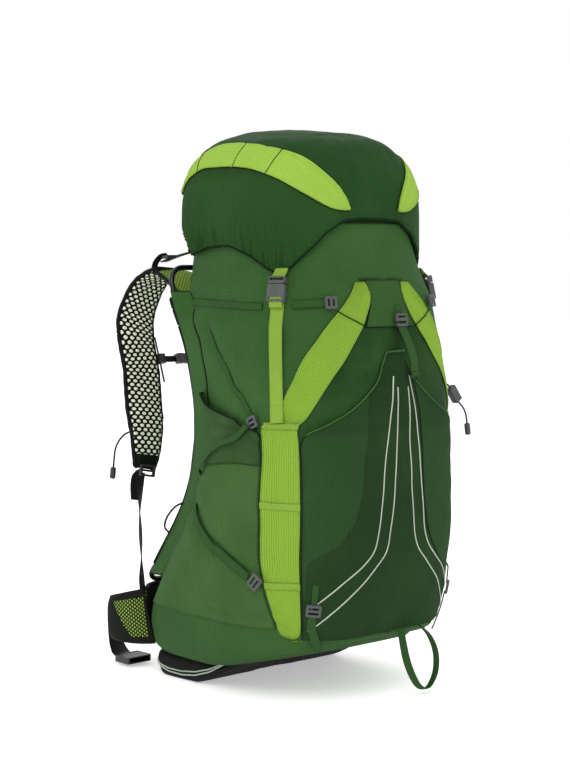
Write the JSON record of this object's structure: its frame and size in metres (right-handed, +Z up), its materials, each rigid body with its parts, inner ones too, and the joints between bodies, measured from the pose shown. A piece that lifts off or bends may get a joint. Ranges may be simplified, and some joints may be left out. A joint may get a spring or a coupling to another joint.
{
  "type": "hiking backpack",
  "caption": "Framed hiking backpack with a domed lid, stretch front pocket, corner bands, suspended mesh back, padded harness and hip belt.",
  "frame": {"origin": "on the ground, under the middle of the whole pack", "axes": "+Z up, +Y towards the wearer, -Y the front of the pack, +X the wearer's right"},
  "size_m": [0.4382, 0.5079, 0.79],
  "materials": {
    "bag_fabric": "coated ripstop weave, satin",
    "lid_fabric": "coated ripstop weave, satin",
    "lime_fabric": "ribbed stretch weave, matte",
    "pocket_mesh": "dense stretch mesh, matte",
    "base_fabric": "heavy coated weave, matte",
    "back_mesh": "open knit mesh",
    "pad_mesh": "die-cut foam under spacer mesh",
    "webbing_green": "woven webbing",
    "webbing_lime": "woven webbing",
    "webbing_black": "woven webbing",
    "hardware_grey": "moulded acetal, fine texture",
    "hardware_black": "moulded acetal, fine texture",
    "frame_tube": "drawn tube, satin",
    "elastic_cord": "braided elastic"
  },
  "bodies": {
    "pack": {"back_mesh": "back_mesh", "base_panel": "base_fabric", "chest_rails": "hardware_black", "collar_cord_lock": "hardware_black", "collar_drawcord": "elastic_cord", "compression_locks": "hardware_grey", "drawcord_collar": "bag_fabric", "flap_webbing": "webbing_green", "frame_cross_strut": "frame_tube", "frame_hoop": "frame_tube", "front_flap": "bag_fabric", "front_pocket": "pocket_mesh", "harness_yoke": "pad_mesh", "lid_rear_straps": "webbing_black", "lid_straps": "webbing_lime", "load_lifter_buckles": "hardware_black", "load_lifters": "webbing_black", "lower_compression_straps": "webbing_green", "lumbar_pad": "pad_mesh", "main_bag": "bag_fabric", "pad_straps": "webbing_green", "shoulder_strap_left": "pad_mesh", "shoulder_strap_right": "pad_mesh", "side_band_left": "lime_fabric", "side_band_right": "lime_fabric", "side_pocket_left": "bag_fabric", "side_pocket_right": "bag_fabric", "slant_compression_straps": "webbing_green", "strap_bungee": "elastic_cord", "strap_bungee_pull": "hardware_grey", "strap_ladder_locks": "hardware_black", "strap_webbings": "webbing_black", "tool_bungee": "elastic_cord", "tool_bungee_pull": "hardware_grey", "tool_cord_lock": "hardware_grey", "upper_compression_straps": "webbing_green"},
    "lid": {"lid_shell": "lid_fabric", "lid_floor": "lid_fabric", "lid_crescents": "lime_fabric", "lid_zip": "webbing_black", "lid_rear_buckles": "hardware_black", "lid_buckle_plugs": "hardware_grey"},
    "zip_slider": {"lid_zip_slider": "hardware_black"},
    "haul": {"haul_loop": "webbing_black"},
    "axe": {"axe_loop": "webbing_green"},
    "hip_left": {"hip_wing_left": "pad_mesh", "hip_webbing_left": "webbing_black", "hip_buckle_socket": "hardware_black"},
    "hip_right": {"hip_wing_right": "pad_mesh", "hip_webbing_right": "webbing_black", "hip_buckle_plug": "hardware_black"},
    "chest_strap": {"chest_sliders": "hardware_black", "chest_webbings": "webbing_black", "chest_buckle_socket": "hardware_black", "chest_buckle_plug": "hardware_black"},
    "lid_socket_left": {"lid_buckle_socket_left": "hardware_grey"},
    "lid_socket_right": {"lid_buckle_socket_right": "hardware_grey"},
    "hook": {"flap_hook": "hardware_grey", "flap_tail": "webbing_green"},
    "collar_button": {"collar_lock_button": "hardware_black"}
  },
  "joints": [
    {"name": "lid_opening", "type": "hinge", "parent": "pack", "child": "lid", "pos_m": [0, 0.095, 0.645], "axis": [-1, 0, 0], "range_deg": [0, 70]},
    {"name": "zip_travel", "type": "slide", "parent": "lid", "child": "zip_slider", "axis": [-1, 0, 0], "range_m": [0, 0.124]},
    {"name": "haul_loop_swing", "type": "hinge", "parent": "pack", "child": "haul", "pos_m": [0, 0.078, 0.6], "axis": [1, 0, 0], "range_deg": [-20, 100]},
    {"name": "axe_loop_swing", "type": "hinge", "parent": "pack", "child": "axe", "pos_m": [0, -0.245, 0.103], "axis": [-1, 0, 0], "range_deg": [-6, 75]},
    {"name": "left_hip_wing", "type": "hinge", "parent": "pack", "child": "hip_left", "pos_m": [-0.15, 0.118, 0.086], "axis": [0, 0, 1], "range_deg": [-12, 28]},
    {"name": "right_hip_wing", "type": "hinge", "parent": "pack", "child": "hip_right", "pos_m": [0.15, 0.118, 0.086], "axis": [0, 0, -1], "range_deg": [-12, 28]},
    {"name": "chest_strap_height", "type": "slide", "parent": "pack", "child": "chest_strap", "axis": [0, 0.3266, 0.9452], "range_m": [-0.02, 0.02]},
    {"name": "left_lid_buckle", "type": "slide", "parent": "pack", "child": "lid_socket_left", "axis": [-0.1803, -0.0879, -0.9797], "range_m": [0, 0.022]},
    {"name": "right_lid_buckle", "type": "slide", "parent": "pack", "child": "lid_socket_right", "axis": [0.1803, -0.0879, -0.9797], "range_m": [0, 0.022]},
    {"name": "flap_hook_slide", "type": "slide", "parent": "pack", "child": "hook", "axis": [0, 0.158, 0.9874], "range_m": [0, 0.012]},
    {"name": "collar_lock_press", "type": "slide", "parent": "pack", "child": "collar_button", "axis": [-1, 0, 0], "range_m": [0, 0.003], "stiffness_N_per_m": 300}
  ]
}
